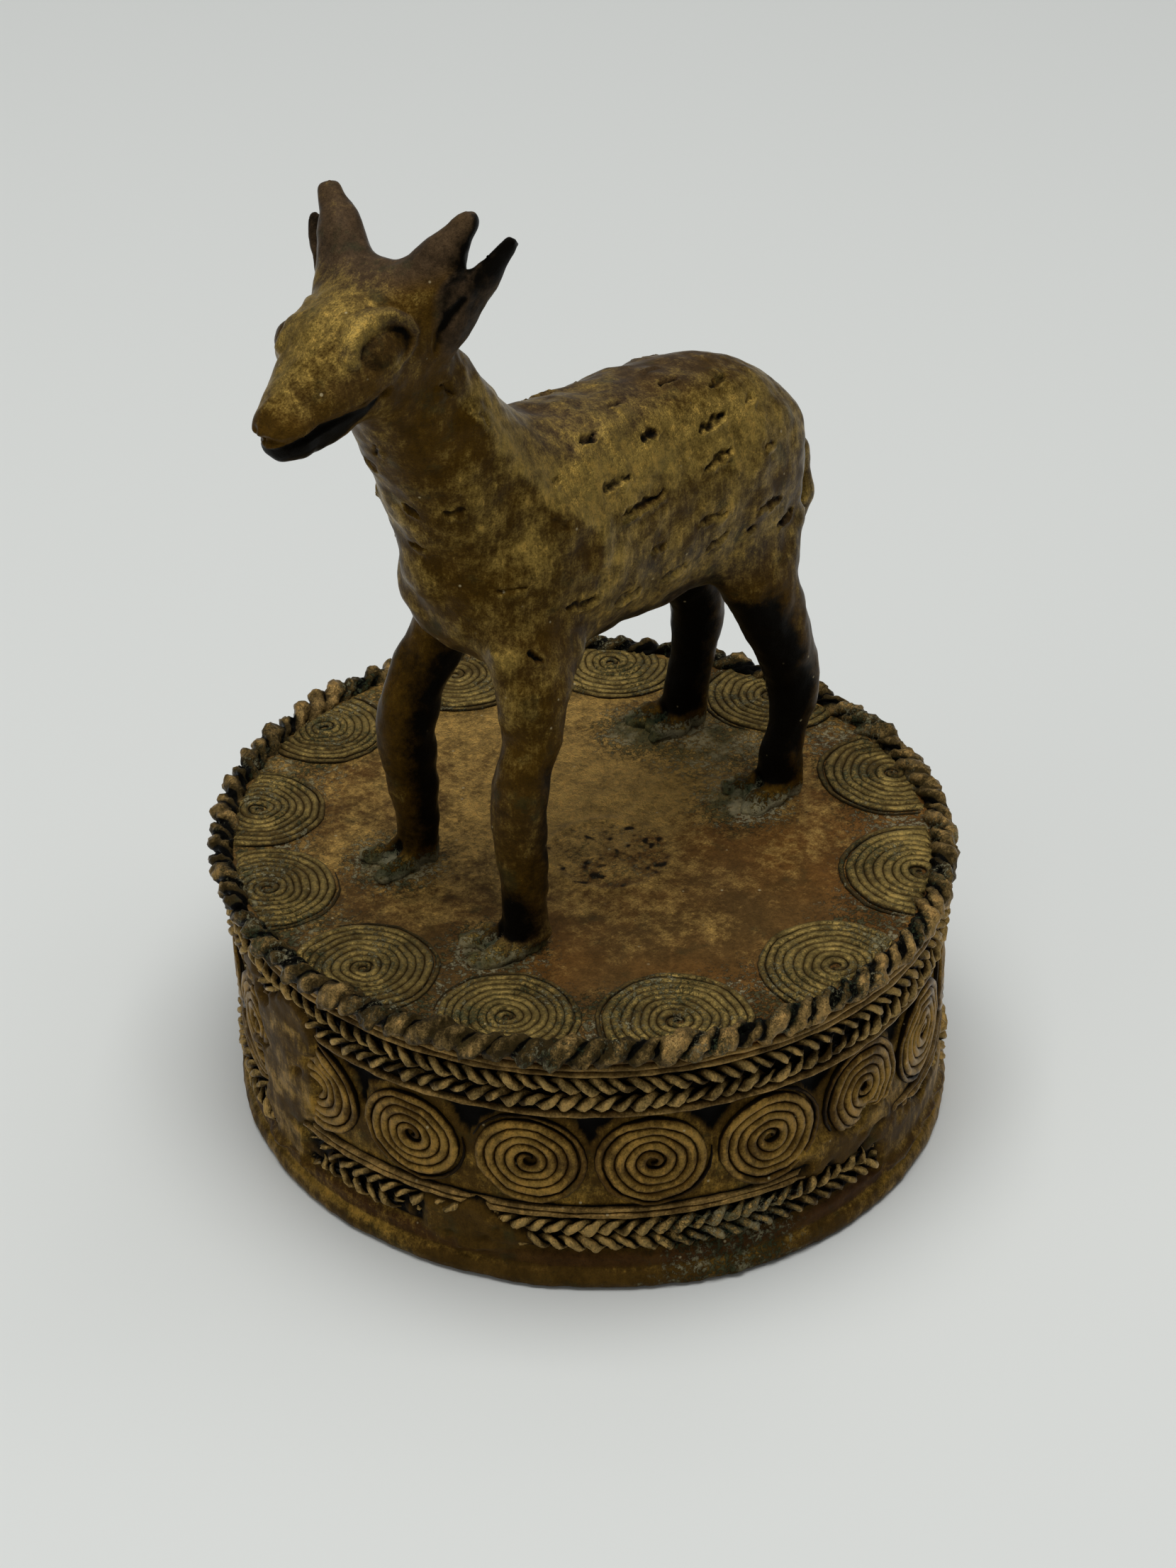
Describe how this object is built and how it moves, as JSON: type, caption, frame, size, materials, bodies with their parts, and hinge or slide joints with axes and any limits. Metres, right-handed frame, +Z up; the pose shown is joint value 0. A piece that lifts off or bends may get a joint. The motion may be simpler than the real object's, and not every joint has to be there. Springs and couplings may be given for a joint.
{
  "type": "lidded box",
  "caption": "Round cast bronze box with a lift-off lid; an antelope standing on the lid is its handle, and spiral coils, braids and a rope of wax thread dress wall and rim.",
  "frame": {"origin": "centre of the box's flat underside", "axes": "+Z up, -X the way the antelope faces, +Y towards the antelope's right side"},
  "size_m": [0.0938, 0.0879, 0.1213],
  "materials": {
    "box_bronze": "dark brown patina, nearly black in the recesses",
    "foot_bronze": "rubbed golden brown bronze with green at the edge",
    "braid_bronze": "brown patina, rubbed bright on the crowns",
    "wire_bronze": "brown patina, rubbed bright on the crowns",
    "side_coil_bronze": "olive brown patina, rubbed bright on the ridges",
    "lid_coil_bronze": "olive brown patina with pale dust in the grooves",
    "rope_bronze": "dark brown patina, rubbed on the outer lobes",
    "lid_bronze": "matt red-brown patina, cloudy",
    "antelope_bronze": "satin brown patina worn to gold on the flank, chest and face"
  },
  "bodies": {
    "box": {"box_floor": "box_bronze", "box_wall": "box_bronze", "foot_band": "foot_bronze", "lower_braid_low_thread": "braid_bronze", "lower_braid_high_thread": "braid_bronze", "lower_wire": "wire_bronze", "upper_wire": "wire_bronze", "upper_braid_low_thread": "braid_bronze", "upper_braid_high_thread": "braid_bronze", "rim_wires": "wire_bronze", "side_coil_01": "side_coil_bronze", "side_coil_02": "side_coil_bronze", "side_coil_03": "side_coil_bronze", "side_coil_04": "side_coil_bronze", "side_coil_05": "side_coil_bronze", "side_coil_06": "side_coil_bronze", "side_coil_07": "side_coil_bronze", "side_coil_08": "side_coil_bronze", "side_coil_09": "side_coil_bronze", "side_coil_10": "side_coil_bronze", "side_coil_11": "side_coil_bronze", "side_coil_12": "side_coil_bronze", "side_coil_13": "side_coil_bronze", "side_coil_14": "side_coil_bronze", "side_coil_15": "side_coil_bronze", "side_coil_16": "side_coil_bronze", "side_coil_17": "side_coil_bronze", "side_coil_18": "side_coil_bronze", "side_coil_19": "side_coil_bronze"},
    "lid": {"lid_plate": "lid_bronze", "lid_collar": "lid_bronze", "lid_rope": "rope_bronze", "lid_coil_01": "lid_coil_bronze", "lid_coil_02": "lid_coil_bronze", "lid_coil_03": "lid_coil_bronze", "lid_coil_04": "lid_coil_bronze", "lid_coil_05": "lid_coil_bronze", "lid_coil_06": "lid_coil_bronze", "lid_coil_07": "lid_coil_bronze", "lid_coil_08": "lid_coil_bronze", "lid_coil_09": "lid_coil_bronze", "lid_coil_10": "lid_coil_bronze", "lid_coil_11": "lid_coil_bronze", "lid_coil_12": "lid_coil_bronze", "torso": "antelope_bronze", "neck": "antelope_bronze", "head": "antelope_bronze", "left_horn": "antelope_bronze", "right_horn": "antelope_bronze", "left_ear": "antelope_bronze", "right_ear": "antelope_bronze", "left_eye": "antelope_bronze", "right_eye": "antelope_bronze", "front_left_leg": "antelope_bronze", "front_right_leg": "antelope_bronze", "hind_left_leg": "antelope_bronze", "hind_right_leg": "antelope_bronze", "tail": "antelope_bronze"}
  },
  "joints": [
    {"name": "lid_lift", "type": "slide", "parent": "box", "child": "lid", "axis": [0, 0, 1], "range_m": [0, 0.06]}
  ]
}
